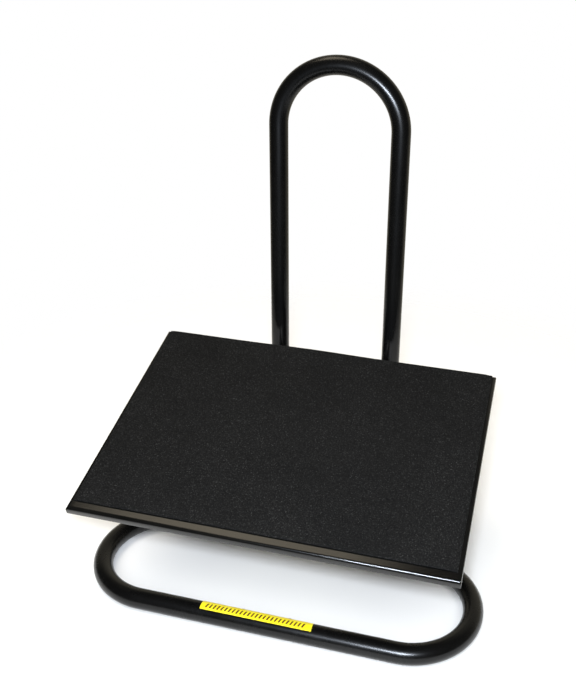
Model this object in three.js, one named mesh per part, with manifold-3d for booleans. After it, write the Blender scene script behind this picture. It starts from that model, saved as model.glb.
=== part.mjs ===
// Free-standing footrest: one bent-tube stand with a tall handle hoop, and a tilted platform that
// slides up and down the hoop's two legs and locks on them by jamming. Millimetres, +Z up, front at -Y.
import * as THREE from 'three';
import { mergeVertices } from 'three/addons/utils/BufferGeometryUtils.js';
import Module from 'manifold-3d';

const wasm = await Module();
wasm.setup();

// ---- driving dimensions ----
const GAP = 0.3; // clearance between touching pieces
const TUBE_R = 12.7; // 25.4 mm round tube
const TUBE_WALL = 2;
const BORE_R = TUBE_R - TUBE_WALL;
const BEND_R = 82.5; // every bend of the stand, at the tube's centre line
const STEM = 2; // straight stretch between the floor bend and the plan bend
const FOOT_H = 1.5; // how far the glides hold the tube off the floor
const HOOP_TOP = 634; // centre line of the hoop's top
const JOINT_Z = 135; // where the hoop is pushed onto the base
const LEG_X = BEND_R;
const LOOP_X = 2 * BEND_R; // centre of each end loop
const BASE_Z = FOOT_H + TUBE_R;
const FRONT_Y = -(4 * BEND_R + STEM); // centre line of the front bar

const PAN_W = 473;
const PAN_D = 322;
const PAN_H = 10.5;
const SHEET = 1.5;
const TILT = THREE.MathUtils.degToRad(15.3);
const PAN_REAR_Y = -49.7;
const PAN_REAR_Z = 247;
const MAT_T = 2;
const MAT_SIDE = 5;
const MAT_REAR = 1.5;
const MAT_FRONT = 12;

const BAR_R = 6; // cross bars that bear on the legs through rubber sleeves
const SLEEVE_R = 9;
const SLEEVE_IN = 70;
const SLEEVE_OUT = 95;
const BAR_Y = TUBE_R + SLEEVE_R + GAP;
const UPPER_BAR_Z = 186.5;
const LOWER_BAR_Z = 126.5;
const BAR_EYE_R = 14; // arm's outline round each bar
const SPACER_R = 8;
const CAP_ACROSS = 17;
const CAP_HEX_T = 8;

const WASHER_T = 0.9;
const WASHER_R = 9.5;

const ARM_T = 4;
const ARM_X = SLEEVE_IN - WASHER_T - 2 * GAP; // outer face of each arm's web
const ARM_TOP = -(SHEET + GAP);
const ARM_REAR_V = 14;
const ARM_FRONT_V = 250;
const ARM_TIP = 16;
const LEDGE_W = 26;
const STUD_R = 3;
const STUD_L = 14;
const STUD_X = ARM_X - ARM_T - LEDGE_W / 2;
const STUD_V = [40, 130, 220];

const LABEL_X = [-80.5, 62.5];
const LABEL_ARC = [-45, 30]; // degrees from straight up, towards the front
const LABEL_T = 0.3;

// The origin is the middle of the object's box, on the floor.
const FRONT_EDGE_Y = PAN_REAR_Y - PAN_D * Math.cos(TILT);
const REAR_EDGE_Y = BAR_Y + BAR_EYE_R;
const CENTRE_Y = (FRONT_EDGE_Y + REAR_EDGE_Y) / 2;

// ---- materials ----
const frameBlack = new THREE.MeshStandardMaterial({ color: 0x17171a, roughness: 0.42, metalness: 0.1 });
const panBlack = new THREE.MeshStandardMaterial({ color: 0x26252b, roughness: 0.5, metalness: 0.1 });
const matBlack = new THREE.MeshStandardMaterial({ color: 0x1f1f21, roughness: 0.95, metalness: 0 });
const rubber = new THREE.MeshStandardMaterial({ color: 0x141414, roughness: 0.9, metalness: 0 });
const zinc = new THREE.MeshStandardMaterial({ color: 0xb4b7bc, roughness: 0.35, metalness: 0.9 });
const washerNylon = new THREE.MeshStandardMaterial({ color: 0xe6e3d8, roughness: 0.5, metalness: 0 });
const labelYellow = new THREE.MeshStandardMaterial({ color: 0xf2dc1e, roughness: 0.4, metalness: 0 });

const footrest = new THREE.Group();
footrest.position.y = -CENTRE_Y;

function addPart(name, geometry, material) {
  const mesh = new THREE.Mesh(geometry, material);
  mesh.name = name;
  footrest.add(mesh);
  return mesh;
}

// ---- boolean helpers ----
function toSolid(geometry) {
  const bare = geometry.clone();
  bare.deleteAttribute('normal');
  bare.deleteAttribute('uv');
  const merged = mergeVertices(bare, 1e-4);
  const mesh = new wasm.Mesh({
    numProp: 3,
    vertProperties: new Float32Array(merged.attributes.position.array),
    triVerts: new Uint32Array(merged.index.array),
  });
  return new wasm.Manifold(mesh);
}

function fromSolid(solid) {
  const mesh = solid.getMesh();
  const geometry = new THREE.BufferGeometry();
  geometry.setAttribute('position', new THREE.BufferAttribute(mesh.vertProperties, 3));
  geometry.setIndex(new THREE.BufferAttribute(mesh.triVerts, 1));
  geometry.computeVertexNormals();
  return geometry;
}

function cut(geometry, ...tools) {
  let solid = toSolid(geometry);
  for (const tool of tools) {
    solid = solid.subtract(toSolid(tool));
  }
  return fromSolid(solid);
}

function join(...geometries) {
  let solid = toSolid(geometries[0]);
  for (const other of geometries.slice(1)) {
    solid = solid.add(toSolid(other));
  }
  return fromSolid(solid);
}

// ---- basic shapes ----
function box(low, high) {
  const size = high.map((value, i) => value - low[i]);
  const geometry = new THREE.BoxGeometry(...size);
  geometry.translate(...low.map((value, i) => value + size[i] / 2));
  return geometry;
}

// A round bar from one point, along an axis name, for a length.
function rod(radius, length, axis, start, sides = 20) {
  const geometry = new THREE.CylinderGeometry(radius, radius, length, sides);
  geometry.translate(0, length / 2, 0);
  if (axis === 'x') {
    geometry.rotateZ(-Math.PI / 2);
  }
  if (axis === 'z') {
    geometry.rotateX(Math.PI / 2);
  }
  geometry.translate(...start);
  return geometry;
}

function pipe(outer, inner, length, axis, start, sides = 20) {
  const past = start.map((value, i) => value - ('xyz'[i] === axis ? 1 : 0));
  return cut(rod(outer, length, axis, start, sides), rod(inner, length + 2, axis, past, sides));
}

// ---- bent tube ----
// A centre line of straights and circular bends, with stations only where the tube turns.
class BentPath extends THREE.Curve {
  constructor(start, heading) {
    super();
    this.stations = [{ point: start.clone(), tangent: heading.clone() }];
  }

  get last() {
    return this.stations[this.stations.length - 1];
  }

  straight(length) {
    const { point, tangent } = this.last;
    this.stations.push({ point: point.clone().addScaledVector(tangent, length), tangent: tangent.clone() });
    return this;
  }

  bend(axis, angle, steps) {
    const { point, tangent } = this.last;
    const inward = axis.clone().cross(tangent);
    const centre = point.clone().addScaledVector(inward, BEND_R);
    const spoke = point.clone().sub(centre);
    for (let i = 1; i <= steps; i += 1) {
      const turn = (angle * i) / steps;
      this.stations.push({
        point: centre.clone().add(spoke.clone().applyAxisAngle(axis, turn)),
        tangent: tangent.clone().applyAxisAngle(axis, turn),
      });
    }
    return this;
  }

  getPointAt(u) {
    return this.stations[Math.round(u * (this.stations.length - 1))].point.clone();
  }

  getTangentAt(u) {
    return this.stations[Math.round(u * (this.stations.length - 1))].tangent.clone();
  }
}

const RING_SIDES = 20;
const BORE_SIDES = 10;

function ringPath(path, radius, sides) {
  for (let i = 0; i < sides; i += 1) {
    const angle = (2 * Math.PI * (i + 0.5)) / sides;
    const method = i === 0 ? 'moveTo' : 'lineTo';
    path[method](radius * Math.cos(angle), radius * Math.sin(angle));
  }
  path.closePath();
  return path;
}

function bentTube(path) {
  const section = ringPath(new THREE.Shape(), TUBE_R, RING_SIDES);
  section.holes.push(ringPath(new THREE.Path(), BORE_R, BORE_SIDES));
  const steps = path.stations.length - 1;
  return new THREE.ExtrudeGeometry(section, { steps, extrudePath: path, curveSegments: 1 });
}

const UP = new THREE.Vector3(0, 0, 1);
const DOWN = new THREE.Vector3(0, 0, -1);
const RIGHT = new THREE.Vector3(1, 0, 0);
const BACK = new THREE.Vector3(0, 1, 0);
const QUARTER = Math.PI / 2;
const QUARTER_STEPS = 7;

// ---- stand ----
const LEG_SCREW_Z = [JOINT_Z - 17, JOINT_Z + 15];
const SCREW_R = 3;
const SCREW_HEAD_R = 5.5;
const SCREW_HEAD_T = 3;
const SCREW_L = 12;

const SOCKET_R = 2;
const RIM_T = 1; // the head's straight rim, and the metal left under its socket

function buttonScrew() {
  const profile = [
    [0, -SCREW_L],
    [SCREW_R, -SCREW_L],
    [SCREW_R, GAP],
    [SCREW_HEAD_R, GAP],
    [SCREW_HEAD_R, GAP + RIM_T],
    [SCREW_HEAD_R - 2, GAP + SCREW_HEAD_T],
    [SOCKET_R, GAP + SCREW_HEAD_T],
    [SOCKET_R, GAP + RIM_T],
    [0, GAP + RIM_T],
  ];
  return new THREE.LatheGeometry(profile.map(([r, y]) => new THREE.Vector2(r, y)), 14);
}

// Clearance hole through the tube's rear wall, along Y.
function screwHole(x, y, z) {
  const start = BORE_R / 4;
  return rod(SCREW_R + GAP, 1.5 * TUBE_R - start, 'y', [x, y + start, z], 14);
}

const hoopPath = new BentPath(new THREE.Vector3(LEG_X, 0, JOINT_Z + GAP / 2), UP)
  .straight(HOOP_TOP - BEND_R - JOINT_Z - GAP / 2)
  .bend(new THREE.Vector3(0, -1, 0), 2 * QUARTER, 2 * QUARTER_STEPS)
  .straight(HOOP_TOP - BEND_R - JOINT_Z - GAP / 2);
addPart(
  'handle_hoop',
  cut(bentTube(hoopPath), screwHole(LEG_X, 0, LEG_SCREW_Z[1]), screwHole(-LEG_X, 0, LEG_SCREW_Z[1])),
  frameBlack,
);

const SPLICE_SCREW_X = 30;
const SPIGOT_R = BORE_R * Math.cos(Math.PI / BORE_SIDES) - GAP;
const SPIGOT_WALL = 2.5;
const SPIGOT_LOW = 102;
const SPIGOT_HIGH = 168;
const SPLICE_HALF = 48;
const GLIDE_R = 4;

// A low disc on the floor, hollowed to fit under a tube that runs along an axis.
function glide(x, y, axis) {
  const start = [x, y, BASE_Z];
  start['xyz'.indexOf(axis)] -= 2 * GLIDE_R;
  const saddle = rod(TUBE_R + GAP, 4 * GLIDE_R, axis, start, 40);
  return cut(rod(GLIDE_R, GLIDE_R, 'z', [x, y, 0], 20), saddle);
}

for (const [side, sign] of [['left', -1], ['right', 1]]) {
  const outward = RIGHT.clone().multiplyScalar(sign);
  const path = new BentPath(new THREE.Vector3(sign * LEG_X, 0, JOINT_Z - GAP / 2), DOWN)
    .straight(JOINT_Z - GAP / 2 - BASE_Z - BEND_R)
    .bend(RIGHT.clone().negate(), QUARTER, QUARTER_STEPS)
    .straight(STEM)
    .bend(UP.clone().multiplyScalar(sign), QUARTER, QUARTER_STEPS)
    .bend(UP.clone().multiplyScalar(-sign), 2 * QUARTER, 2 * QUARTER_STEPS)
    .straight(LOOP_X - GAP / 2);
  addPart(
    `base_tube_${side}`,
    cut(
      bentTube(path),
      screwHole(sign * LEG_X, 0, LEG_SCREW_Z[0]),
      screwHole(sign * SPLICE_SCREW_X, FRONT_Y, BASE_Z),
    ),
    frameBlack,
  );

  const spigot = pipe(SPIGOT_R, SPIGOT_R - SPIGOT_WALL, SPIGOT_HIGH - SPIGOT_LOW, 'z',
    [sign * LEG_X, 0, SPIGOT_LOW]);
  const spigotHoles = LEG_SCREW_Z.map((z) => screwHole(sign * LEG_X, 0, z));
  addPart(`leg_spigot_${side}`, cut(spigot, ...spigotHoles), zinc);

  for (const [level, z] of [['lower', LEG_SCREW_Z[0]], ['upper', LEG_SCREW_Z[1]]]) {
    addPart(`leg_screw_${side}_${level}`, buttonScrew(), zinc).position.set(sign * LEG_X, TUBE_R, z);
  }
  addPart(`splice_screw_${side}`, buttonScrew(), zinc)
    .position.set(sign * SPLICE_SCREW_X, FRONT_Y + TUBE_R, BASE_Z);

  // Rubber glides: a low disc under the front bar's end and one under the stem.
  addPart(`front_glide_${side}`, glide(sign * LOOP_X, FRONT_Y, 'x'), rubber);
  addPart(`rear_glide_${side}`, glide(sign * LEG_X, -(BEND_R + STEM / 2), 'y'), rubber);
}

const splice = pipe(SPIGOT_R, SPIGOT_R - SPIGOT_WALL, 2 * SPLICE_HALF, 'x', [-SPLICE_HALF, FRONT_Y, BASE_Z]);
addPart(
  'splice_sleeve',
  cut(splice, screwHole(-SPLICE_SCREW_X, FRONT_Y, BASE_Z), screwHole(SPLICE_SCREW_X, FRONT_Y, BASE_Z)),
  zinc,
);

function labelStrip() {
  const inner = TUBE_R + GAP;
  const outer = inner + LABEL_T;
  // The section is drawn with +X to the front and +Y up, then swept along the bar.
  const [rear, front] = LABEL_ARC.map((degrees) => QUARTER - THREE.MathUtils.degToRad(degrees));
  const section = new THREE.Shape();
  section.absarc(0, 0, outer, front, rear, false);
  section.absarc(0, 0, inner, rear, front, true);
  section.closePath();
  const depth = LABEL_X[1] - LABEL_X[0];
  const geometry = new THREE.ExtrudeGeometry(section, { depth, bevelEnabled: false, curveSegments: 8 });
  const toBar = new THREE.Matrix4().makeBasis(BACK.clone().negate(), UP, RIGHT.clone().negate());
  geometry.applyMatrix4(toBar);
  geometry.translate(LABEL_X[1], FRONT_Y, BASE_Z);
  return geometry;
}
addPart('label_strip', labelStrip(), labelYellow);

// ---- platform ----
// The pan's own frame: x across, v forward from the rear top edge, h above the top face.
const panFrame = new THREE.Matrix4().makeBasis(
  new THREE.Vector3(-1, 0, 0),
  new THREE.Vector3(0, -Math.cos(TILT), -Math.sin(TILT)),
  new THREE.Vector3(0, -Math.sin(TILT), Math.cos(TILT)),
).setPosition(0, PAN_REAR_Y, PAN_REAR_Z);

function panPoint(v, h) {
  const point = new THREE.Vector3(0, v, h).applyMatrix4(panFrame);
  return [point.y, point.z];
}

const HALF_W = PAN_W / 2;
const hollow = box([-HALF_W + SHEET, SHEET, -PAN_H - 1], [HALF_W - SHEET, PAN_D - SHEET, -SHEET]);
const tray = cut(box([-HALF_W, 0, -PAN_H], [HALF_W, PAN_D, 0]), hollow);
addPart('pan', tray.applyMatrix4(panFrame), panBlack);

const MAT_CORNER = 4;
function matSheet() {
  const halfW = HALF_W - MAT_SIDE;
  const [low, high] = [MAT_REAR, PAN_D - MAT_FRONT];
  const outline = new THREE.Shape();
  outline.absarc(halfW - MAT_CORNER, low + MAT_CORNER, MAT_CORNER, -QUARTER, 0, false);
  outline.absarc(halfW - MAT_CORNER, high - MAT_CORNER, MAT_CORNER, 0, QUARTER, false);
  outline.absarc(-halfW + MAT_CORNER, high - MAT_CORNER, MAT_CORNER, QUARTER, 2 * QUARTER, false);
  outline.absarc(-halfW + MAT_CORNER, low + MAT_CORNER, MAT_CORNER, 2 * QUARTER, 3 * QUARTER, false);
  outline.closePath();
  const sheet = new THREE.ExtrudeGeometry(outline, { depth: MAT_T, bevelEnabled: false, curveSegments: 4 });
  sheet.translate(0, 0, GAP);
  return sheet.applyMatrix4(panFrame);
}
addPart('mat', matSheet(), matBlack);

// Angle from the horizontal, in the Y-Z plane, of the outward normal of a line between two points.
function outwardAngle(from, to) {
  return Math.atan2(to[1] - from[1], to[0] - from[0]) - QUARTER;
}

function armWeb() {
  const rearTop = panPoint(ARM_REAR_V, ARM_TOP);
  const frontTop = panPoint(ARM_FRONT_V, ARM_TOP);
  const frontLow = panPoint(ARM_FRONT_V, ARM_TOP - ARM_TIP);
  const lowerBar = [-BAR_Y, LOWER_BAR_Z];
  const upperBar = [BAR_Y, UPPER_BAR_Z];
  const reach = Math.hypot(frontLow[0] - lowerBar[0], frontLow[1] - lowerBar[1]);
  const underside = outwardAngle(frontLow, lowerBar) - Math.asin(BAR_EYE_R / reach);
  const rearSide = outwardAngle(lowerBar, upperBar);
  const topSide = outwardAngle(upperBar, rearTop);
  const web = new THREE.Shape();
  web.moveTo(...rearTop);
  web.lineTo(...frontTop);
  web.lineTo(...frontLow);
  web.absarc(...lowerBar, BAR_EYE_R, underside, rearSide, false);
  web.absarc(...upperBar, BAR_EYE_R, rearSide, topSide, false);
  web.closePath();
  const plate = new THREE.ExtrudeGeometry(web, { depth: ARM_T, bevelEnabled: false, curveSegments: 6 });
  plate.applyMatrix4(new THREE.Matrix4().makeBasis(BACK, UP, RIGHT));
  return plate;
}

for (const [side, sign] of [['left', -1], ['right', 1]]) {
  const webX = sign > 0 ? ARM_X - ARM_T : -ARM_X;
  const web = armWeb().translate(webX, 0, 0);
  // The ledge is drawn in the pan's frame, whose x runs the other way.
  const xs = [-sign * (ARM_X - ARM_T - LEDGE_W), -sign * (ARM_X - ARM_T / 2)].sort((a, b) => a - b);
  const ledge = box([xs[0], ARM_REAR_V, ARM_TOP - ARM_T], [xs[1], ARM_FRONT_V, ARM_TOP]);
  const studHoles = STUD_V.map((v) => rod(STUD_R + GAP, STUD_L, 'z', [-sign * STUD_X, v, -STUD_L], 12));
  const drilled = cut(ledge, ...studHoles).applyMatrix4(panFrame);
  const eyes = [[BAR_Y, UPPER_BAR_Z], [-BAR_Y, LOWER_BAR_Z]]
    .map(([y, z]) => rod(BAR_R + GAP, 3 * ARM_T, 'x', [webX - ARM_T, y, z]));
  addPart(`arm_${side}`, cut(join(web, drilled), ...eyes), frameBlack);
}

const NUT_ACROSS = 10;
const NUT_FLANGE_R = 6.5;
const NUT_FLANGE_T = 1.5;
const NUT_H = 6;

function flangeNut() {
  const flange = rod(NUT_FLANGE_R, NUT_FLANGE_T, 'z', [0, 0, -NUT_FLANGE_T], 18);
  const hex = rod(NUT_ACROSS / Math.sqrt(3), NUT_H, 'z', [0, 0, -NUT_H], 6);
  return cut(join(flange, hex), rod(STUD_R + GAP, NUT_H + 2, 'z', [0, 0, -NUT_H - 1], 12));
}

const POSITIONS = ['rear', 'middle', 'front'];
for (const [side, sign] of [['left', -1], ['right', 1]]) {
  STUD_V.forEach((v, i) => {
    const nut = flangeNut().translate(-sign * STUD_X, v, ARM_TOP - ARM_T - GAP).applyMatrix4(panFrame);
    addPart(`stud_nut_${side}_${POSITIONS[i]}`, nut, zinc);
    const stud = rod(STUD_R, STUD_L, 'z', [-sign * STUD_X, v, -SHEET - GAP - STUD_L], 12);
    addPart(`weld_stud_${side}_${POSITIONS[i]}`, stud.applyMatrix4(panFrame), zinc);
  });
}

// ---- cross bars: each passes through both arms and carries a rubber sleeve beside each leg ----
const BAR_HALF = SLEEVE_OUT + 6.4; // each end stops short inside its cap nut
const NUT_BORE = 7.4;
const CAP_DOME_R = 7;

function capNut() {
  const hexR = CAP_ACROSS / Math.sqrt(3);
  const hex = rod(hexR, CAP_HEX_T, 'x', [SLEEVE_OUT + GAP, 0, 0], 6);
  const dome = new THREE.SphereGeometry(CAP_DOME_R, 14, 8);
  dome.translate(SLEEVE_OUT + GAP + CAP_HEX_T - 1, 0, 0);
  const bore = rod(BAR_R + GAP, NUT_BORE, 'x', [SLEEVE_OUT - GAP, 0, 0], 20);
  return cut(join(hex, dome), bore);
}

function crossBar(level, y, z) {
  const spacerHalf = ARM_X - ARM_T - GAP;
  addPart(`${level}_bar`, rod(BAR_R, 2 * BAR_HALF, 'x', [-BAR_HALF, y, z]), zinc);
  addPart(`${level}_spacer`, pipe(SPACER_R, BAR_R + GAP, 2 * spacerHalf, 'x', [-spacerHalf, y, z]), zinc);
  const sleeveL = SLEEVE_OUT - SLEEVE_IN;
  for (const [side, sign] of [['left', -1], ['right', 1]]) {
    const start = sign > 0 ? SLEEVE_IN : -SLEEVE_OUT;
    addPart(`${level}_sleeve_${side}`, pipe(SLEEVE_R, BAR_R + GAP, sleeveL, 'x', [start, y, z], 24), rubber);
    const washerX = sign > 0 ? ARM_X + GAP : -ARM_X - GAP - WASHER_T;
    const washer = pipe(WASHER_R, BAR_R + GAP, WASHER_T, 'x', [washerX, y, z]);
    addPart(`${level}_washer_${side}`, washer, washerNylon);
    const nut = addPart(`${level}_cap_nut_${side}`, capNut(), zinc);
    nut.position.set(0, y, z);
    nut.rotation.y = sign > 0 ? 0 : Math.PI;
  }
}

crossBar('upper', BAR_Y, UPPER_BAR_Z);
crossBar('lower', -BAR_Y, LOWER_BAR_Z);

export default footrest;
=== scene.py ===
"""Standing footrest with a handle hoop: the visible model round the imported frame.

Metres, +Z up, front at -Y.
"""
import math

import bmesh
import bpy
from mathutils import Matrix, Vector


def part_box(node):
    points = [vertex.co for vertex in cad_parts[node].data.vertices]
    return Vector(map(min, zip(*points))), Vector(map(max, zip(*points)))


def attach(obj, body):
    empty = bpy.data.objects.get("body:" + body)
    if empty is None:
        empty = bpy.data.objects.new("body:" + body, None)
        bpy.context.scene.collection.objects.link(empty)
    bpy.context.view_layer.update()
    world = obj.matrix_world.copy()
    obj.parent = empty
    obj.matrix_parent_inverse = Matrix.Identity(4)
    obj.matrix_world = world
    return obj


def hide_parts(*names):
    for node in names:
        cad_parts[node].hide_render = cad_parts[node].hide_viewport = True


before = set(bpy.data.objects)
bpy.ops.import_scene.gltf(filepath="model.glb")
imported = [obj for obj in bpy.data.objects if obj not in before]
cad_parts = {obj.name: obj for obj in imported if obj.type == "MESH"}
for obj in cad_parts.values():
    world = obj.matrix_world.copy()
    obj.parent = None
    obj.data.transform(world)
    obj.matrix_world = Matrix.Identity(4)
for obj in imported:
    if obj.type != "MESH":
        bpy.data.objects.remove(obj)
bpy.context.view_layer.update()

MM = 0.001
GAP = 0.3 * MM
QUARTER = math.pi / 2

# ---- sizes and places, from the frame and the stand's own driving dimensions ----
TUBE_R = 12.7 * MM
BORE_R = 10.7 * MM
BEND_R = 82.5 * MM
STEM = 2 * MM
BASE_Z = 14.2 * MM
HOOP_TOP = 634 * MM
JOINT_Z = 135 * MM
LEG_X = BEND_R
LOOP_X = 2 * BEND_R
HOOP_LOW, HOOP_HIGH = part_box("handle_hoop")
LEG_Y = (HOOP_LOW[1] + HOOP_HIGH[1]) / 2
FRONT_Y = LEG_Y - 4 * BEND_R - STEM

PAN_W = 473 * MM
PAN_D = 322 * MM
PAN_H = 10.5 * MM
SHEET = 1.5 * MM
FOLD_R = 4 * MM
TILT = math.radians(15.3)
PAN_REAR = Vector((0, LEG_Y - 49.7 * MM, 247 * MM))
MAT_T = 2 * MM
MAT_SIDE = 5 * MM
MAT_REAR = 1.5 * MM
MAT_FRONT = 12 * MM

BAR_R = 6 * MM
BAR_REACH = 6 * MM
SLEEVE_R = 9 * MM
SLEEVE_IN = 70 * MM
SLEEVE_OUT = 95 * MM
BAR_Y = TUBE_R + SLEEVE_R + GAP
UPPER_BAR_Z = 186.5 * MM
LOWER_BAR_Z = 126.5 * MM
BAR_EYE_R = 14 * MM
SPACER_R = 8 * MM

WASHER_T = 0.9 * MM
WASHER_R = 9.5 * MM
ARM_T = 4 * MM
ARM_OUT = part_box("arm_right")[1][0]
ARM_TOP = -(SHEET + GAP)
ARM_REAR_V = 14 * MM
ARM_FRONT_V = 250 * MM
ARM_TIP = 16 * MM
LEDGE_W = 26 * MM
STUD_R = 3 * MM
STUD_L = 14 * MM
STUD_X = ARM_OUT - ARM_T - LEDGE_W / 2
STUD_V = {"rear": 40 * MM, "middle": 130 * MM, "front": 220 * MM}
SIDES = {"left": -1, "right": 1}

# The pan's own frame: x across, y up the slope from the rear top edge, so that the pan lies at
# y < 0, and z off its face.
PAN_FRAME = Matrix.Translation(PAN_REAR) @ Matrix.Rotation(TILT, 4, "X")


# ---- material nodes ----
def new_material(name, color, roughness, metallic=0.0):
    mat = bpy.data.materials.new(name)
    mat.use_nodes = True
    shader = mat.node_tree.nodes["Principled BSDF"]
    shader.inputs["Base Color"].default_value = (*color, 1)
    shader.inputs["Roughness"].default_value = roughness
    shader.inputs["Metallic"].default_value = metallic
    mat.diffuse_color = (*color, 1)
    return mat, mat.node_tree.nodes, mat.node_tree.links, shader


def object_coordinates(nodes, links, stretch=(1, 1, 1)):
    coord = nodes.new("ShaderNodeTexCoord")
    mapping = nodes.new("ShaderNodeMapping")
    mapping.inputs["Scale"].default_value = stretch
    links.new(coord.outputs["Object"], mapping.inputs["Vector"])
    return mapping.outputs["Vector"]


def noise(nodes, links, vector, scale, detail=4, rough=0.6):
    tex = nodes.new("ShaderNodeTexNoise")
    tex.inputs["Scale"].default_value = scale
    tex.inputs["Detail"].default_value = detail
    tex.inputs["Roughness"].default_value = rough
    links.new(vector, tex.inputs["Vector"])
    return tex.outputs["Fac"]


def ramp(nodes, links, value, stops):
    node = nodes.new("ShaderNodeValToRGB")
    elements = node.color_ramp.elements
    while len(elements) < len(stops):
        elements.new(0.5)
    for element, (place, color) in zip(elements, stops):
        element.position = place
        element.color = (*color, 1)
    links.new(value, node.inputs["Fac"])
    return node.outputs["Color"]


def spread(nodes, links, value, low, high, start=0.3, end=0.7):
    node = nodes.new("ShaderNodeMapRange")
    node.inputs["From Min"].default_value = start
    node.inputs["From Max"].default_value = end
    node.inputs["To Min"].default_value = low
    node.inputs["To Max"].default_value = high
    links.new(value, node.inputs["Value"])
    return node.outputs["Result"]


def mix_colors(nodes, links, factor, first, second, blend="MIX"):
    node = nodes.new("ShaderNodeMix")
    node.data_type = "RGBA"
    node.blend_type = blend
    for value, socket in ((factor, node.inputs[0]), (first, node.inputs[6]), (second, node.inputs[7])):
        if isinstance(value, bpy.types.NodeSocket):
            links.new(value, socket)
        else:
            socket.default_value = value
    return node.outputs[2]


def add_bump(nodes, links, shader, height, distance, strength=1.0, before=None):
    bump = nodes.new("ShaderNodeBump")
    bump.inputs["Strength"].default_value = strength
    bump.inputs["Distance"].default_value = distance
    links.new(height, bump.inputs["Height"])
    if before is not None:
        links.new(before, bump.inputs["Normal"])
    links.new(bump.outputs["Normal"], shader.inputs["Normal"])
    return bump.outputs["Normal"]


def powder_coat(name, deep, pale, rough, gloss):
    """Satin black powder coat: orange peel, faint handling smears and pale scuff specks at random."""
    mat, nodes, links, shader = new_material(name, deep, sum(rough) / 2)
    here = object_coordinates(nodes, links)
    cloud = noise(nodes, links, here, 22, 5)
    tone = ramp(nodes, links, cloud, [(0.35, deep), (0.7, pale)])
    specks = spread(nodes, links, noise(nodes, links, here, 1400, 2), 0, 0.35, 0.66, 0.76)
    scuff = (*[c * 2.2 for c in pale], 1)
    links.new(mix_colors(nodes, links, specks, tone, scuff), shader.inputs["Base Color"])
    smear = noise(nodes, links, object_coordinates(nodes, links, (1, 1, 0.35)), 30, 6, 0.7)
    links.new(spread(nodes, links, smear, *rough), shader.inputs["Roughness"])
    peel = add_bump(nodes, links, shader, noise(nodes, links, here, 420, 2), 0.05 * MM, 0.16)
    add_bump(nodes, links, shader, noise(nodes, links, here, 1500, 1), 0.015 * MM, 0.12, peel)
    shader.inputs["Specular IOR Level"].default_value = gloss
    return mat


def grained_mat(name):
    """Non-slip sheet: matt black with a fine pebbled grain, worn slightly paler on the pebbles' tops."""
    mat, nodes, links, shader = new_material(name, (0.02, 0.02, 0.021), 0.85)
    here = object_coordinates(nodes, links)
    pebble = nodes.new("ShaderNodeTexVoronoi")
    pebble.feature = "SMOOTH_F1"
    pebble.inputs["Scale"].default_value = 620
    pebble.inputs["Smoothness"].default_value = 0.5
    links.new(here, pebble.inputs["Vector"])
    grain = noise(nodes, links, here, 640, 3, 0.75)
    tops = ramp(nodes, links, grain, [(0.42, (0.001, 0.001, 0.001)), (0.6, (0.009, 0.009, 0.0086)),
                                      (0.78, (0.075, 0.075, 0.075))])
    blotch = spread(nodes, links, noise(nodes, links, here, 9, 5, 0.6), 0.78, 1.2)
    scale_tone = nodes.new("ShaderNodeVectorMath")
    scale_tone.operation = "SCALE"
    links.new(tops, scale_tone.inputs[0])
    links.new(blotch, scale_tone.inputs["Scale"])
    links.new(scale_tone.outputs["Vector"], shader.inputs["Base Color"])
    links.new(spread(nodes, links, grain, 0.72, 0.95), shader.inputs["Roughness"])
    low = add_bump(nodes, links, shader, pebble.outputs["Distance"], -0.5 * MM, 0.55)
    add_bump(nodes, links, shader, grain, 0.2 * MM, 0.6, low)
    shader.inputs["Specular IOR Level"].default_value = 0.15
    return mat


def soft_rubber(name):
    mat, nodes, links, shader = new_material(name, (0.016, 0.016, 0.016), 0.8)
    here = object_coordinates(nodes, links)
    grain = noise(nodes, links, here, 260, 4)
    tone = ramp(nodes, links, grain, [(0.35, (0.011, 0.011, 0.011)), (0.7, (0.026, 0.025, 0.024))])
    links.new(tone, shader.inputs["Base Color"])
    links.new(spread(nodes, links, grain, 0.66, 0.9), shader.inputs["Roughness"])
    add_bump(nodes, links, shader, grain, 0.06 * MM, 0.5)
    return mat


def zinc_plate(name):
    """Bright zinc: fine drawn lines, with a faint blue and straw passivation."""
    mat, nodes, links, shader = new_material(name, (0.6, 0.61, 0.63), 0.3, 1.0)
    here = object_coordinates(nodes, links)
    cloud = noise(nodes, links, here, 75, 4)
    tone = ramp(nodes, links, cloud, [(0.3, (0.52, 0.55, 0.62)), (0.55, (0.64, 0.64, 0.64)),
                                      (0.75, (0.62, 0.58, 0.5))])
    links.new(tone, shader.inputs["Base Color"])
    lines = noise(nodes, links, object_coordinates(nodes, links, (0.06, 1, 1)), 1600, 3)
    links.new(spread(nodes, links, lines, 0.24, 0.42), shader.inputs["Roughness"])
    add_bump(nodes, links, shader, lines, 0.012 * MM, 0.5)
    return mat


def natural_nylon(name):
    mat, nodes, links, shader = new_material(name, (0.7, 0.68, 0.6), 0.45)
    here = object_coordinates(nodes, links)
    cloud = noise(nodes, links, here, 180, 3)
    tone = ramp(nodes, links, cloud, [(0.3, (0.64, 0.61, 0.52)), (0.7, (0.72, 0.7, 0.63))])
    links.new(tone, shader.inputs["Base Color"])
    links.new(spread(nodes, links, cloud, 0.38, 0.55), shader.inputs["Roughness"])
    return mat


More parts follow.
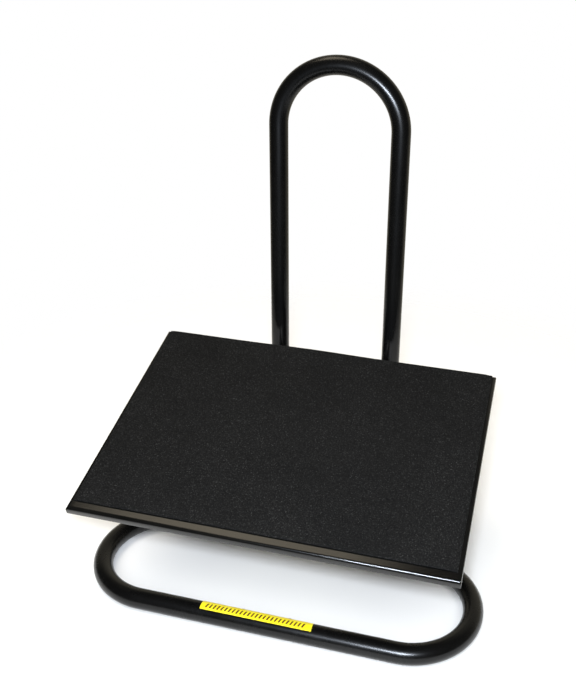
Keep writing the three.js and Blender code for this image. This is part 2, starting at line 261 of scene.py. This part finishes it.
def label_vinyl(name):
    mat, nodes, links, shader = new_material(name, (0.93, 0.76, 0.02), 0.32)
    here = object_coordinates(nodes, links)
    cloud = noise(nodes, links, here, 60, 4)
    tone = ramp(nodes, links, cloud, [(0.3, (0.92, 0.73, 0.012)), (0.75, (0.97, 0.84, 0.03))])
    links.new(tone, shader.inputs["Base Color"])
    links.new(spread(nodes, links, cloud, 0.26, 0.42), shader.inputs["Roughness"])
    add_bump(nodes, links, shader, noise(nodes, links, here, 300, 2), 0.03 * MM, 0.4)
    return mat


def label_ink(name):
    mat, nodes, links, shader = new_material(name, (0.06, 0.02, 0.008), 0.5)
    here = object_coordinates(nodes, links)
    worn = noise(nodes, links, here, 1100, 3)
    tone = ramp(nodes, links, worn, [(0.4, (0.06, 0.018, 0.008)), (0.75, (0.16, 0.07, 0.012))])
    links.new(tone, shader.inputs["Base Color"])
    return mat


FLOOR_MIDDLE = (0, 0.12, 0)
FLOOR_FADE = (0.46, 0.8)


def pale_floor(name):
    """White paper that fades out towards its rim, where the white studio shows instead."""
    mat, nodes, links, shader = new_material(name, (0.9, 0.9, 0.9), 0.7)
    here = object_coordinates(nodes, links)
    cloud = noise(nodes, links, here, 3, 3)
    tone = ramp(nodes, links, cloud, [(0.3, (0.89, 0.89, 0.9)), (0.7, (0.92, 0.92, 0.91))])
    links.new(tone, shader.inputs["Base Color"])
    away = nodes.new("ShaderNodeVectorMath")
    away.operation = "DISTANCE"
    away.inputs[1].default_value = FLOOR_MIDDLE
    links.new(here, away.inputs[0])
    links.new(spread(nodes, links, away.outputs["Value"], 1, 0, *FLOOR_FADE), shader.inputs["Alpha"])
    return mat


FRAME_BLACK = powder_coat("frame_powder_coat", deep=(0.0022, 0.0022, 0.0022),
                          pale=(0.0034, 0.0033, 0.0032), rough=(0.23, 0.3), gloss=0.3)
PAN_BLACK = powder_coat("pan_powder_coat", deep=(0.003, 0.003, 0.0028),
                        pale=(0.005, 0.0048, 0.0044), rough=(0.17, 0.22), gloss=0.31)
MAT_BLACK = grained_mat("mat_grain")
RUBBER = soft_rubber("black_rubber")
ZINC = zinc_plate("zinc_plate")
NYLON = natural_nylon("natural_nylon")
YELLOW = label_vinyl("label_vinyl")
INK = label_ink("label_ink")
FLOOR = pale_floor("pale_floor")
SLOT_MATERIALS = {
    "frame_black": FRAME_BLACK,
    "pan_black": PAN_BLACK,
    "mat_black": MAT_BLACK,
    "rubber_black": RUBBER,
    "zinc": ZINC,
    "nylon": NYLON,
    "label_yellow": YELLOW,
}


# ---- mesh helpers ----
def shade(mesh, angle=32):
    for polygon in mesh.polygons:
        polygon.use_smooth = True
    mesh.set_sharp_from_angle(angle=math.radians(angle))


def mesh_from(name, verts, faces):
    mesh = bpy.data.meshes.new(name)
    mesh.from_pydata([tuple(v) for v in verts], [], faces)
    work = bmesh.new()
    work.from_mesh(mesh)
    bmesh.ops.remove_doubles(work, verts=work.verts, dist=1e-7)
    bmesh.ops.recalc_face_normals(work, faces=work.faces)
    work.to_mesh(mesh)
    work.free()
    return mesh


def piece(name, mesh, body, slot, *nodes, material=None, angle=32):
    """A visible piece that stands for CAD nodes, rides on a body and takes its finish from a slot."""
    shade(mesh, angle)
    mesh.materials.clear()
    mesh.materials.append(material or SLOT_MATERIALS[slot])
    obj = bpy.data.objects.new(name, mesh)
    bpy.context.scene.collection.objects.link(obj)
    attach(obj, body)
    if nodes:
        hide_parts(*nodes)
    return obj


def baked(mesh, *modifiers):
    """The mesh with modifiers applied: each is a type and its settings."""
    obj = bpy.data.objects.new("work", mesh)
    bpy.context.scene.collection.objects.link(obj)
    for kind, settings in modifiers:
        modifier = obj.modifiers.new(kind, kind)
        for key, value in settings.items():
            setattr(modifier, key, value)
    result = bpy.data.meshes.new_from_object(obj.evaluated_get(bpy.context.evaluated_depsgraph_get()))
    bpy.data.objects.remove(obj)
    return result


def combine(first, second, operation):
    tool = bpy.data.objects.new("tool", second)
    bpy.context.scene.collection.objects.link(tool)
    result = baked(first, ("BOOLEAN", {"object": tool, "operation": operation, "solver": "EXACT"}))
    bpy.data.objects.remove(tool)
    return result


def moved(mesh, matrix):
    copy = mesh.copy()
    copy.transform(matrix)
    return copy


def merged(name, *meshes):
    work = bmesh.new()
    for mesh in meshes:
        work.from_mesh(mesh)
    result = bpy.data.meshes.new(name)
    work.to_mesh(result)
    work.free()
    return result


def edge_break(width, segments=2, angle=40):
    return ("BEVEL", {"width": width, "segments": segments, "limit_method": "ANGLE",
                      "angle_limit": math.radians(angle), "harden_normals": False})


def along(axis, origin=(0, 0, 0)):
    """Takes +Z to an axis, with the start at a point."""
    return Matrix.Translation(origin) @ Vector(axis).to_track_quat("Z", "Y").to_matrix().to_4x4()


def lathe(name, profile, sides=48, closed=False):
    """A turned mesh round +Z, from (height, radius) points; an open profile starts and ends on the axis."""
    verts, rings = [], []
    for height, radius in profile:
        count = 1 if radius == 0 else sides
        rings.append(range(len(verts), len(verts) + count))
        for i in range(count):
            angle = 2 * math.pi * i / sides
            verts.append((radius * math.cos(angle), radius * math.sin(angle), height))
    faces = []
    pairs = list(zip(rings, rings[1:])) + ([(rings[-1], rings[0])] if closed else [])
    for low, high in pairs:
        for i in range(sides):
            j = (i + 1) % sides
            corners = [low[i % len(low)], low[j % len(low)], high[j % len(high)], high[i % len(high)]]
            unique = list(dict.fromkeys(corners))
            if len(unique) > 2:
                faces.append(unique)
    return mesh_from(name, verts, faces)


def rod(name, low, high, radius, sides=48):
    """A plain cylinder along Z, used as a tool for bores and holes."""
    return lathe(name, [(low, 0), (low, radius), (high, radius), (high, 0)], sides)


def turned_ring(name, length, outer, inner, edge, sides=48):
    """A tube with rounded rims, from height 0 to length."""
    arc = [(edge * (1 - math.sin(t)), edge * (1 - math.cos(t))) for t in (0, 0.4, 0.8, 1.2, QUARTER)]
    low_out = [(h, outer - r) for h, r in arc]
    high_out = [(length - h, outer - r) for h, r in reversed(arc)]
    low_in = [(h, inner + r) for h, r in arc]
    high_in = [(length - h, inner + r) for h, r in reversed(arc)]
    profile = list(reversed(low_out)) + list(reversed(high_out)) + high_in + low_in
    return lathe(name, profile, sides, closed=True)


def prism(name, outline, depth):
    """A plate from an outline in X-Y, from z 0 to depth."""
    count = len(outline)
    verts = [(x, y, 0) for x, y in outline] + [(x, y, depth) for x, y in outline]
    faces = [tuple(reversed(range(count))), tuple(range(count, 2 * count))]
    faces += [(i, (i + 1) % count, count + (i + 1) % count, count + i) for i in range(count)]
    return mesh_from(name, verts, faces)


def block(name, low, high):
    outline = [(low[0], low[1]), (high[0], low[1]), (high[0], high[1]), (low[0], high[1])]
    return moved(prism(name, outline, high[2] - low[2]), Matrix.Translation((0, 0, low[2])))


def circle(radius, count, centre=(0, 0), start=0.0, end=2 * math.pi, whole=True):
    steps = count if whole else count - 1
    angles = [start + (end - start) * i / steps for i in range(count)]
    return [(centre[0] + radius * math.cos(a), centre[1] + radius * math.sin(a)) for a in angles]


# ---- bent tube ----
class Route:
    """A centre line of straights and circular bends, as points with their tangents."""

    def __init__(self, start, heading):
        self.stations = [(Vector(start), Vector(heading))]

    def straight(self, length, steps=1):
        point, tangent = self.stations[-1]
        for i in range(1, steps + 1):
            self.stations.append((point + tangent * length * i / steps, tangent.copy()))
        return self

    def bend(self, axis, angle, steps):
        point, tangent = self.stations[-1]
        centre = point + Vector(axis).cross(tangent) * BEND_R
        for i in range(1, steps + 1):
            turn = Matrix.Rotation(angle * i / steps, 3, Vector(axis))
            self.stations.append((centre + turn @ (point - centre), turn @ tangent))
        return self


def tube_mesh(name, route, sides=56, rim=0.2 * MM):
    """An open-ended tube with its wall, and its cut ends broken by a small rim."""
    stations = route.stations
    normals = [stations[0][1].orthogonal().normalized()]
    for (_, before), (_, after) in zip(stations, stations[1:]):
        normals.append(before.rotation_difference(after) @ normals[-1])

    def ring(index, shift, radius):
        point, tangent = stations[index]
        side = normals[index]
        other = tangent.cross(side)
        centre = point + tangent * shift
        return [centre + (side * math.cos(a) + other * math.sin(a)) * radius
                for a in (2 * math.pi * i / sides for i in range(sides))]

    last = len(stations) - 1
    rings = [ring(0, 0, TUBE_R - rim), ring(0, rim, TUBE_R), ring(0, 3 * rim, TUBE_R)]
    rings += [ring(i, 0, TUBE_R) for i in range(1, last)]
    rings += [ring(last, -3 * rim, TUBE_R), ring(last, -rim, TUBE_R), ring(last, 0, TUBE_R - rim)]
    rings += [ring(i, 0, BORE_R) for i in range(last, -1, -1)]
    verts = [v for one in rings for v in one]
    faces = []
    for k in range(len(rings)):
        a, b = k * sides, ((k + 1) % len(rings)) * sides
        faces += [(a + i, a + (i + 1) % sides, b + (i + 1) % sides, b + i) for i in range(sides)]
    return mesh_from(name, verts, faces)


BEND_STEPS = 26
LEG_LENGTH = HOOP_TOP - BEND_R - JOINT_Z - GAP / 2
LEG_SCREW_Z = {"lower": JOINT_Z - 17 * MM, "upper": JOINT_Z + 15 * MM}
SPLICE_SCREW_X = 30 * MM
CLEAR_M6 = 3.3 * MM
SEAM = 0.05 * MM


def screw_hole(x, y, z):
    """A hole through the tube's rear wall."""
    return moved(rod("hole", 0, 12 * MM, CLEAR_M6, 24), along((0, 1, 0), (x, y + 8 * MM, z)))


def build_stand():
    """The hoop, and the two mirrored base tubes that meet in the middle of the front bar."""
    hoop = Route((LEG_X, LEG_Y, JOINT_Z + GAP / 2), (0, 0, 1)).straight(LEG_LENGTH, 4)
    hoop.bend((0, -1, 0), 2 * QUARTER, 2 * BEND_STEPS).straight(LEG_LENGTH, 4)
    mesh = tube_mesh("handle_hoop_tube", hoop)
    for sign in SIDES.values():
        mesh = combine(mesh, screw_hole(sign * LEG_X, LEG_Y, LEG_SCREW_Z["upper"]), "DIFFERENCE")
    piece("handle_hoop_tube", mesh, "frame", "frame_black", "handle_hoop")
    for side, sign in SIDES.items():
        base = Route((sign * LEG_X, LEG_Y, JOINT_Z - GAP / 2), (0, 0, -1))
        base.straight(JOINT_Z - GAP / 2 - BASE_Z - BEND_R)
        base.bend((-1, 0, 0), QUARTER, BEND_STEPS).straight(STEM)
        base.bend((0, 0, sign), QUARTER, BEND_STEPS).bend((0, 0, -sign), 2 * QUARTER, 2 * BEND_STEPS)
        base.straight(LOOP_X - SEAM / 2, 3)
        mesh = tube_mesh(f"base_loop_{side}", base, rim=SEAM)
        mesh = combine(mesh, screw_hole(sign * LEG_X, LEG_Y, LEG_SCREW_Z["lower"]), "DIFFERENCE")
        mesh = combine(mesh, screw_hole(sign * SPLICE_SCREW_X, FRONT_Y, BASE_Z), "DIFFERENCE")
        piece(f"base_loop_{side}", mesh, "frame", "frame_black", f"base_tube_{side}")


# ---- fasteners ----
SCREW_R = 3 * MM
SCREW_L = 12 * MM
HEAD_R = 5 * MM
HEAD_T = 2.4 * MM
HEAD_FLAT_R = 2.2 * MM
SOCKET_R = 2.31 * MM
PITCH = 1 * MM


def thread_points(start, turns, radius, depth):
    """Profile points of a thread's turns, from a height upwards."""
    points = []
    for i in range(turns):
        root = start + i * PITCH
        points += [(root, radius - depth), (root + 0.35 * PITCH, radius), (root + 0.5 * PITCH, radius)]
    return points


def button_screw():
    """Button head with a hexagon socket, pointing out along +Z from its seat at 0."""
    dome = [(GAP + HEAD_T * math.sin(t), HEAD_FLAT_R + (HEAD_R - HEAD_FLAT_R) * math.cos(t))
            for t in (QUARTER * i / 7 for i in range(8))]
    thread = thread_points(-SCREW_L + 1 * MM, 8, SCREW_R, 0.4 * MM)
    profile = [(-SCREW_L, 0), (-SCREW_L, SCREW_R - 1 * MM), *thread, (-2.4 * MM, SCREW_R),
               (GAP, SCREW_R), (GAP, HEAD_R - 0.2 * MM), *dome, (GAP + HEAD_T, 0)]
    body = lathe("screw", profile, 40)
    socket = prism("socket", circle(SOCKET_R, 6), 4 * MM)
    socket = moved(socket, Matrix.Translation((0, 0, GAP + 1.1 * MM)))
    return combine(body, socket, "DIFFERENCE")


def hexagon(across, height):
    """A hexagon with its corners turned off at both ends, as nuts have."""
    corner = across / math.sqrt(3)
    fall = 0.09 * across * 0.58
    cone = lathe("cone", [(0, 0), (0, across / 2), (fall, corner), (height - fall, corner),
                          (height, across / 2), (height, 0)], 60)
    return combine(prism("hex", circle(corner * 1.002, 6), height), cone, "INTERSECT")


def flange_nut():
    """An M6 nut: flange at 0, hexagon towards +Z, and a plain bore that clears the stud."""
    flange = lathe("flange", [(0, 0), (0, 6.3 * MM), (0.2 * MM, 6.5 * MM), (0.9 * MM, 6.5 * MM),
                              (1.6 * MM, 5.4 * MM), (1.6 * MM, 0)], 48)
    grip = moved(hexagon(10 * MM, 5.6 * MM), Matrix.Translation((0, 0, 0.4 * MM)))
    body = combine(flange, grip, "UNION")
    return combine(body, rod("bore", -1 * MM, 8 * MM, CLEAR_M6, 40), "DIFFERENCE")


def cap_nut():
    """Domed nut: hexagon from 0 towards +Z, then a turned dome."""
    dome_r = 7.4 * MM
    hex_t = 8 * MM
    squash = 0.92
    dome = [(hex_t - 1 * MM, 0), (hex_t - 1 * MM, dome_r)]
    dome += [(hex_t + dome_r * math.sin(t) * squash, dome_r * math.cos(t))
             for t in (QUARTER * i / 12 for i in range(12))]
    dome.append((hex_t + dome_r * squash, 0))
    body = combine(hexagon(17 * MM, hex_t), lathe("dome", dome, 48), "UNION")
    return combine(body, rod("bore", -1 * MM, 7 * MM, BAR_R + GAP, 40), "DIFFERENCE")


def build_fasteners():
    """The frame's screws, and the studs and nuts that hold the pan on its arms."""
    screw = button_screw()
    for side, sign in SIDES.items():
        for level, z in LEG_SCREW_Z.items():
            name = f"leg_screw_{side}_{level}"
            place = along((0, 1, 0), (sign * LEG_X, LEG_Y + TUBE_R, z))
            piece(f"{name}_fine", moved(screw, place), "frame", "zinc", name)
        place = along((0, 1, 0), (sign * SPLICE_SCREW_X, FRONT_Y + TUBE_R, BASE_Z))
        piece(f"splice_screw_{side}_fine", moved(screw, place), "frame", "zinc", f"splice_screw_{side}")
    nut = flange_nut()
    stud = weld_stud()
    for side, sign in SIDES.items():
        for row, v in STUD_V.items():
            hang = PAN_FRAME @ Matrix.Translation((sign * STUD_X, -v, ARM_TOP))
            name = f"weld_stud_{side}_{row}"
            piece(f"{name}_fine", moved(stud, hang), "platform", "zinc", name)
            seat = Matrix.Translation((sign * STUD_X, -v, ARM_TOP - ARM_T - GAP))
            turned = Matrix.Rotation(v * 40, 4, "Z")
            place = PAN_FRAME @ seat @ Matrix.Rotation(math.pi, 4, "X") @ turned
            name = f"stud_nut_{side}_{row}"
            piece(f"{name}_fine", moved(nut, place), "platform", "zinc", name)


# ---- cross bars ----
def build_bar(level, body, y, z):
    """A cross bar with its spacer, rubber sleeves, washers and cap nuts."""
    nut = cap_nut()
    half = SLEEVE_OUT + BAR_REACH
    chamfer = 0.8 * MM
    bar = lathe("bar", [(-half, 0), (-half, BAR_R - chamfer), (-half + chamfer, BAR_R),
                        (half - chamfer, BAR_R), (half, BAR_R - chamfer), (half, 0)], 48)
    piece(f"{level}_bar_fine", moved(bar, along((1, 0, 0), (0, y, z))), body, "zinc", f"{level}_bar")
    spacer_half = ARM_OUT - ARM_T - GAP
    spacer = turned_ring("spacer", 2 * spacer_half, SPACER_R, BAR_R + GAP, 0.5 * MM)
    piece(f"{level}_spacer_fine", moved(spacer, along((1, 0, 0), (-spacer_half, y, z))), body, "zinc",
          f"{level}_spacer")
    washer = turned_ring("washer", WASHER_T, WASHER_R, BAR_R + GAP, 0.2 * MM)
    sleeve = turned_ring("sleeve", SLEEVE_OUT - SLEEVE_IN, SLEEVE_R, BAR_R + GAP, 1.2 * MM, 64)
    stack = (("sleeve", sleeve, "rubber_black", SLEEVE_IN), ("washer", washer, "nylon", ARM_OUT + GAP),
             ("cap_nut", nut, "zinc", SLEEVE_OUT + GAP))
    for side, sign in SIDES.items():
        for part, mesh, slot, x in stack:
            node = f"{level}_{part}_{side}"
            place = along((sign, 0, 0), (sign * x, y, z))
            piece(f"{node}_fine", moved(mesh, place), body, slot, node)


# ---- platform ----
def folded_block(half, front, rear, low, top, radius):
    """A block whose four upper edges are rounded and mitred at the corners, as folds are."""
    def arch(start, end):
        curve = circle(radius, 9, (end - radius, top - radius), 0, QUARTER, whole=False)
        curve += circle(radius, 9, (start + radius, top - radius), QUARTER, 2 * QUARTER, whole=False)
        return [(start, low), (end, low), *curve]

    across = moved(prism("across", arch(-half, half), rear - front),
                   Matrix(((1, 0, 0, 0), (0, 0, -1, rear), (0, 1, 0, 0), (0, 0, 0, 1))))
    deep = moved(prism("deep", arch(front, rear), 2 * half),
                 Matrix(((0, 0, 1, -half), (1, 0, 0, 0), (0, 1, 0, 0), (0, 0, 0, 1))))
    return combine(across, deep, "INTERSECT")


def build_pan():
    """The folded tray: rounded bends, mitred corners with their butt seams open below the bend."""
    outer = folded_block(PAN_W / 2, -PAN_D, 0, -PAN_H, 0, FOLD_R)
    inner = folded_block(PAN_W / 2 - SHEET, -PAN_D + SHEET, -SHEET, -PAN_H - 1 * MM, -SHEET,
                         FOLD_R - SHEET)
    tray = combine(outer, inner, "DIFFERENCE")
    seam = 0.35 * MM
    for sign in (-1, 1):
        for y in (-PAN_D + SHEET, -SHEET - seam):
            slot = block("slot", (sign * PAN_W / 2 - 3 * MM, y, -PAN_H - 1 * MM),
                         (sign * PAN_W / 2 + 3 * MM, y + seam, -FOLD_R))
            tray = combine(tray, slot, "DIFFERENCE")
    tray = baked(tray, edge_break(0.25 * MM, 2))
    piece("pan_folded", moved(tray, PAN_FRAME), "platform", "pan_black", "pan", angle=28)


def weld_stud():
    """A threaded stud with its weld collar, hanging from 0."""
    thread = thread_points(-STUD_L + 0.6 * MM, 11, STUD_R, 0.35 * MM)
    return lathe("stud", [(-STUD_L, 0), (-STUD_L, STUD_R - 0.8 * MM), *thread, (-1.6 * MM, STUD_R),
                          (-0.2 * MM, STUD_R + 0.2 * MM), (0, STUD_R + 0.2 * MM), (0, 0)], 32)


CURL_H = 1.5 * MM
CURL_X = -20 * MM
CURL_WIDTH = 70 * MM
CURL_DEPTH = 30 * MM
RIPPLE_H = 0.1 * MM
PRESS_H = 0.9 * MM
PRESS_WIDTH = 6 * MM


def mat_lift(x, v):
    """How far the sheet's top moves: curled up at the rear left of the middle, pressed down at the sides."""
    curl = math.exp(-(((x - CURL_X) / CURL_WIDTH) ** 2)) * math.exp(-((v / CURL_DEPTH) ** 2))
    ripple = math.sin(x * 37 + 1.3) * math.sin(v * 29 + 0.4)
    inward = PAN_W / 2 - MAT_SIDE - abs(x)
    pressed = math.exp(-((inward / PRESS_WIDTH) ** 2))
    return CURL_H * curl + RIPPLE_H * (1 + ripple) * (1 - pressed) - PRESS_H * pressed


def build_mat():
    """The grained sheet as a fine grid, so that it can curl and ripple."""
    across, deep = 118, 80
    half = PAN_W / 2 - MAT_SIDE
    length = PAN_D - MAT_FRONT - MAT_REAR
    verts = []
    for j in range(deep + 1):
        for i in range(across + 1):
            x = -half + 2 * half * i / across
            v = MAT_REAR + length * j / deep
            verts.append((x, -v, GAP + MAT_T + mat_lift(x, v)))
    row = across + 1
    faces = [(j * row + i, (j + 1) * row + i, (j + 1) * row + i + 1, j * row + i + 1)
             for j in range(deep) for i in range(across)]
    sheet = mesh_from("mat_sheet", verts, faces)
    if sheet.polygons[0].normal.z < 0:
        sheet.flip_normals()
    sheet = baked(sheet, ("SOLIDIFY", {"thickness": MAT_T, "offset": -1}), edge_break(0.6 * MM, 3, 50))
    piece("mat_grained", moved(sheet, PAN_FRAME), "platform", "mat_black", "mat")


def slope_point(v, h):
    """A point of the pan's frame as Y and Z."""
    point = PAN_FRAME @ Vector((0, -v, h))
    return (point.y, point.z)


def outward_angle(start, end):
    """The direction square to a side, away from the plate, for an outline that runs anticlockwise."""
    return math.atan2(end[1] - start[1], end[0] - start[0]) - QUARTER


def arm_outline():
    """The side plate in Y and Z: along the pan, and round the eyes of both bars."""
    rear_top = slope_point(ARM_REAR_V, ARM_TOP)
    front_top = slope_point(ARM_FRONT_V, ARM_TOP)
    front_low = slope_point(ARM_FRONT_V, ARM_TOP - ARM_TIP)
    lower = (LEG_Y - BAR_Y, LOWER_BAR_Z)
    upper = (LEG_Y + BAR_Y, UPPER_BAR_Z)
    reach = math.dist(front_low, lower)
    under = outward_angle(front_low, lower) - math.asin(BAR_EYE_R / reach)
    back = outward_angle(lower, upper)
    top = outward_angle(upper, rear_top)
    outline = [rear_top, front_top, front_low]
    outline += circle(BAR_EYE_R, 20, lower, under, back, whole=False)
    outline += circle(BAR_EYE_R, 24, upper, back, top, whole=False)
    return outline


def build_arms():
    """Laser-cut side plates, each with a ledge folded in under the pan."""
    to_side = Matrix(((0, 0, 1, 0), (1, 0, 0, 0), (0, 1, 0, 0), (0, 0, 0, 1)))
    web = moved(prism("web", arm_outline(), ARM_T), to_side)
    for side, sign in SIDES.items():
        start = ARM_OUT - ARM_T if sign > 0 else -ARM_OUT
        plate = moved(web, Matrix.Translation((start, 0, 0)))
        xs = sorted((sign * (ARM_OUT - ARM_T - LEDGE_W), sign * (ARM_OUT - ARM_T / 2)))
        ledge = block("ledge", (xs[0], -ARM_FRONT_V, ARM_TOP - ARM_T), (xs[1], -ARM_REAR_V, ARM_TOP))
        plate = combine(plate, moved(ledge, PAN_FRAME), "UNION")
        drill = rod("drill", -20 * MM, 20 * MM, BAR_R + GAP)
        for y, z in ((LEG_Y + BAR_Y, UPPER_BAR_Z), (LEG_Y - BAR_Y, LOWER_BAR_Z)):
            hole = moved(drill, along((1, 0, 0), (start + ARM_T / 2, y, z)))
            plate = combine(plate, hole, "DIFFERENCE")
        stud_drill = rod("stud_drill", -20 * MM, 5 * MM, STUD_R + GAP, 32)
        for v in STUD_V.values():
            hole = moved(stud_drill, PAN_FRAME @ Matrix.Translation((sign * STUD_X, -v, 0)))
            plate = combine(plate, hole, "DIFFERENCE")
        plate = baked(plate, edge_break(0.4 * MM, 2))
        piece(f"arm_{side}_plate", plate, "platform", "frame_black", f"arm_{side}", angle=28)


# ---- glides and label ----
GLIDE_R = 4 * MM


def build_glides():
    """Low rubber discs whose tops follow the tube's underside."""
    radius = GLIDE_R
    stem_y = LEG_Y - BEND_R - STEM / 2
    lift = 1.0  # marks the points of the top, whose height comes from the tube
    profile = [(0, 0), (0, radius - 0.5 * MM), (0.15 * MM, radius - 0.15 * MM), (0.5 * MM, radius)]
    profile += [(lift, radius * k / 6) for k in range(6, 0, -1)] + [(lift, 0)]
    for side, sign in SIDES.items():
        for end, x, y, lie in (("front", LOOP_X, FRONT_Y, 1), ("rear", LEG_X, stem_y, 0)):
            name = f"{end}_glide_{side}"
            mesh = lathe(name, profile, 40)
            for vertex in mesh.vertices:
                if vertex.co.z == lift:
                    off = vertex.co[lie]
                    vertex.co.z = BASE_Z - math.sqrt((TUBE_R + 0.1 * MM) ** 2 - off ** 2)
            mesh.transform(Matrix.Translation((sign * x, y, 0)))
            piece(f"{name}_disc", mesh, "frame", "rubber_black", name)


LABEL_X = (-80.5 * MM, 62.5 * MM)
LABEL_ARC = (math.radians(-45), math.radians(30))
LABEL_LIFT = 0.2 * MM
TICK_ARC = (math.radians(-10), math.radians(18))
TICKS = 26
TICK_MARGIN = 7 * MM
TICK_SHARE = 0.45
TICK_LEAN = 2.2 * MM


def bar_patch(name, xs, arc, radius, thickness, columns, rows, lean=0.0):
    """A thin curved patch on the front bar; angles are from straight up, towards the front."""
    verts = []
    for i in range(columns + 1):
        x = xs[0] + (xs[1] - xs[0]) * i / columns
        for j in range(rows + 1):
            t = arc[0] + (arc[1] - arc[0]) * j / rows
            slant = lean * (0.5 - j / rows)
            verts.append((x + slant, FRONT_Y - radius * math.sin(t), BASE_Z + radius * math.cos(t)))
    row = rows + 1
    faces = [(i * row + j, i * row + j + 1, (i + 1) * row + j + 1, (i + 1) * row + j)
             for i in range(columns) for j in range(rows)]
    mesh = mesh_from(name, verts, faces)
    if mesh.polygons[0].normal.z < 0:
        mesh.flip_normals()
    return baked(mesh, ("SOLIDIFY", {"thickness": thickness, "offset": -1}))


def build_label():
    """The yellow strip, with a row of slanted hatch ticks."""
    outer = TUBE_R + LABEL_LIFT
    sheet = bar_patch("label_sheet", LABEL_X, LABEL_ARC, outer, 0.14 * MM, 30, 14)
    piece("label_sheet", sheet, "frame", "label_yellow", "label_strip")
    spacing = (LABEL_X[1] - LABEL_X[0] - 2 * TICK_MARGIN) / TICKS
    marks = []
    for i in range(TICKS):
        start = LABEL_X[0] + TICK_MARGIN + spacing * i
        marks.append(bar_patch("tick", (start, start + TICK_SHARE * spacing), TICK_ARC, outer + 0.05 * MM,
                               0.03 * MM, 1, 5, lean=TICK_LEAN))
    piece("label_ticks", merged("label_ticks", *marks), "frame", "label_yellow", material=INK)


# ---- camera, light and floor ----
WORLD_LEAN = (0, 1, -0.35)
DIM_FRONT = 0.03
BRIGHT_BACK = 0.6
WARM = (1.0, 0.93, 0.74)
COOL = (0.86, 0.92, 1.0)
COLD = (0.8, 0.88, 1.0)
LAMP_CREAM = (1.0, 0.88, 0.68)
DAYLIGHT = (1.0, 0.985, 0.95)
FLASH_POWER = 16
GLINT_POWER = 24
CEILING_POWER = 11
FILL_STRENGTH = 2.8
CEILING_PLACE = (-0.57, 0.2, 2.23)
CEILING_AIM = (0.05, -0.33, 0.18)
FILL_PLACE = (0, -1.2, 2.1)
STAND_MIDDLE = (0, -0.05, 0.2)

CAMERA_PLACE = Vector((0.28711, LEG_Y - 1.13892, 0.85586))
CAMERA_LENS = 47.115
CAMERA_SHIFT = (-0.0741, -0.0828)
CAMERA_ANGLES = {"yaw": 13.871, "pitch": -24.613, "roll": 1.264}


def build_world():
    """A white studio that lights the stand from behind, and hardly at all from the front."""
    world = bpy.data.worlds.new("studio")
    world.use_nodes = True
    nodes, links = world.node_tree.nodes, world.node_tree.links
    coord = nodes.new("ShaderNodeTexCoord")
    lean = nodes.new("ShaderNodeVectorMath")
    lean.operation = "DOT_PRODUCT"
    lean.inputs[1].default_value = WORLD_LEAN
    links.new(coord.outputs["Generated"], lean.inputs[0])
    glow = spread(nodes, links, lean.outputs["Value"], DIM_FRONT, BRIGHT_BACK, 0.1, 0.6)
    tint = mix_colors(nodes, links, 1.0, (*WARM, 1), glow, "MULTIPLY")
    path = nodes.new("ShaderNodeLightPath")
    seen = mix_colors(nodes, links, path.outputs["Is Camera Ray"], tint, (1, 1, 1, 1))
    background = nodes["Background"]
    links.new(seen, background.inputs["Color"])
    background.inputs["Strength"].default_value = 1.0
    bpy.context.scene.world = world


def add_light(name, kind, place, aim, energy, tint, **settings):
    light = bpy.data.objects.new(name, bpy.data.lights.new(name, kind))
    light.data.energy = energy
    light.data.color = tint
    for key, value in settings.items():
        setattr(light.data, key, value)
    light.location = place
    light.rotation_mode = "QUATERNION"
    light.rotation_quaternion = (Vector(aim) - Vector(place)).to_track_quat("-Z", "Y")
    bpy.context.scene.collection.objects.link(light)
    return light


def build_camera():
    camera = bpy.data.objects.new("camera", bpy.data.cameras.new("camera"))
    camera.data.lens = CAMERA_LENS
    camera.data.shift_x, camera.data.shift_y = CAMERA_SHIFT
    camera.data.clip_start = 0.05
    yaw, pitch, roll = (math.radians(a) for a in CAMERA_ANGLES.values())
    turn = Matrix.Rotation(yaw, 4, "Z") @ Matrix.Rotation(QUARTER + pitch, 4, "X")
    turn = turn @ Matrix.Rotation(roll, 4, "Z")
    camera.matrix_world = Matrix.Translation(CAMERA_PLACE) @ turn
    bpy.context.scene.collection.objects.link(camera)
    bpy.context.scene.camera = camera


def build_floor():
    rim = circle(FLOOR_FADE[1], 64, FLOOR_MIDDLE[:2])
    floor = mesh_from("floor", [(x, y, 0) for x, y in rim], [tuple(range(len(rim)))])
    floor.materials.append(FLOOR)
    obj = bpy.data.objects.new("floor", floor)
    bpy.context.scene.collection.objects.link(obj)


def build_lights():
    """A lamp by the lens (its glow and its highlight apart), a ceiling lamp and a wide soft fill."""
    beside_lens = CAMERA_PLACE + Vector((-0.025, 0.02, 0.05))
    below_lens = beside_lens + Vector((-0.04, 0, -0.22))
    flash = add_light("flash", "AREA", beside_lens, STAND_MIDDLE, FLASH_POWER, COOL, size=0.1)
    flash.visible_glossy = False
    glint = add_light("glint", "AREA", below_lens, STAND_MIDDLE, GLINT_POWER, COLD,
                      shape="RECTANGLE", size=0.34, size_y=0.03)
    glint.visible_diffuse = False
    add_light("ceiling", "AREA", CEILING_PLACE, CEILING_AIM, CEILING_POWER, LAMP_CREAM, size=0.9)
    fill = add_light("fill", "SUN", FILL_PLACE, (0, 0, 0), FILL_STRENGTH, DAYLIGHT, angle=math.radians(70))
    fill.visible_glossy = False


build_camera()
build_floor()
build_world()
build_lights()
bpy.context.scene.view_settings.view_transform = "Standard"
build_stand()
build_fasteners()
build_bar("upper", "slider", LEG_Y + BAR_Y, UPPER_BAR_Z)
build_bar("lower", "platform", LEG_Y - BAR_Y, LOWER_BAR_Z)
build_pan()
build_mat()
build_arms()
build_glides()
build_label()
for node in ("leg_spigot_left", "leg_spigot_right", "splice_sleeve"):
    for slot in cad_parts[node].material_slots:
        slot.material = ZINC
